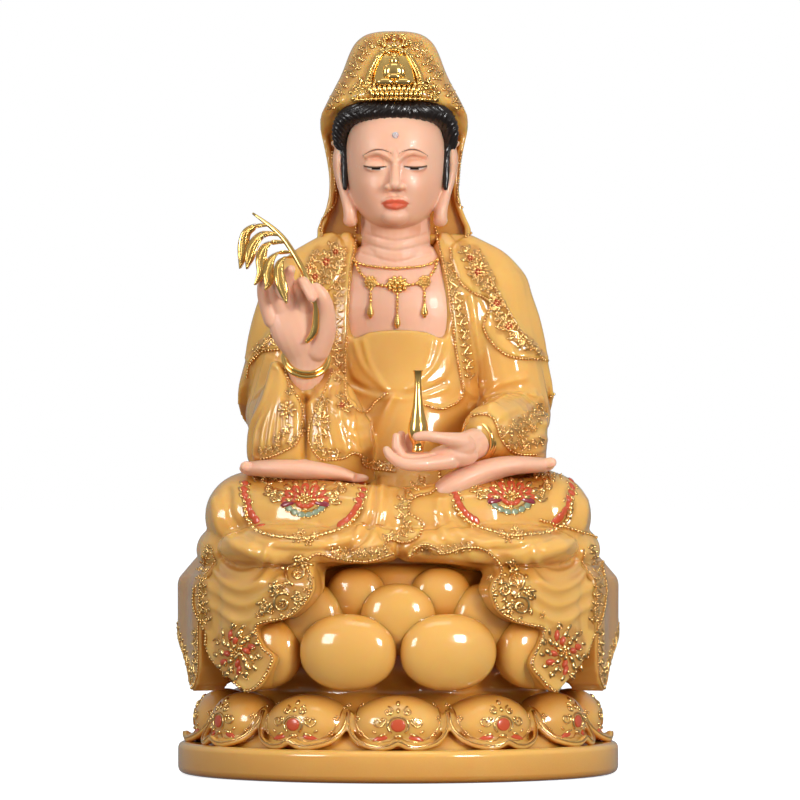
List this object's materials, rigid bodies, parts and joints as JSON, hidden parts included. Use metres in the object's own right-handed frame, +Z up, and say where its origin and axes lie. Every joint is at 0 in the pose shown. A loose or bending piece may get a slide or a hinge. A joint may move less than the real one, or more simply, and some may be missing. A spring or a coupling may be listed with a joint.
{
  "type": "guanyin statue",
  "caption": "Seated Guanyin figure on a double lotus throne with round plinth, cast in honey-coloured resin with gilt crown, necklace, bracelets, willow sprig and small vase.",
  "frame": {"origin": "middle of the plinth's underside", "axes": "+Z up along the figure, the figure faces -Y, +X to its left hand"},
  "size_m": [0.2409, 0.237, 0.4],
  "materials": {
    "honey_resin": "glossy translucent honey-coloured cast resin",
    "gilt_metal": "polished gold plating",
    "cut_crystal": "cut and polished",
    "skin_paint": "smooth peach-coloured paint, satin",
    "hair_paint": "gloss near-black paint",
    "gilt_paint": "raised gilded relief lines",
    "red_enamel": "translucent red glaze paint",
    "green_enamel": "translucent blue-green glaze paint"
  },
  "bodies": {
    "root": {"guanyin_on_lotus": "honey_resin", "crown": "gilt_metal", "necklace": "gilt_metal", "bracelet_right": "gilt_metal", "bracelet_left": "gilt_metal", "willow_branch": "gilt_metal", "vase": "gilt_metal", "forehead_crystal": "cut_crystal"}
  },
  "joints": []
}
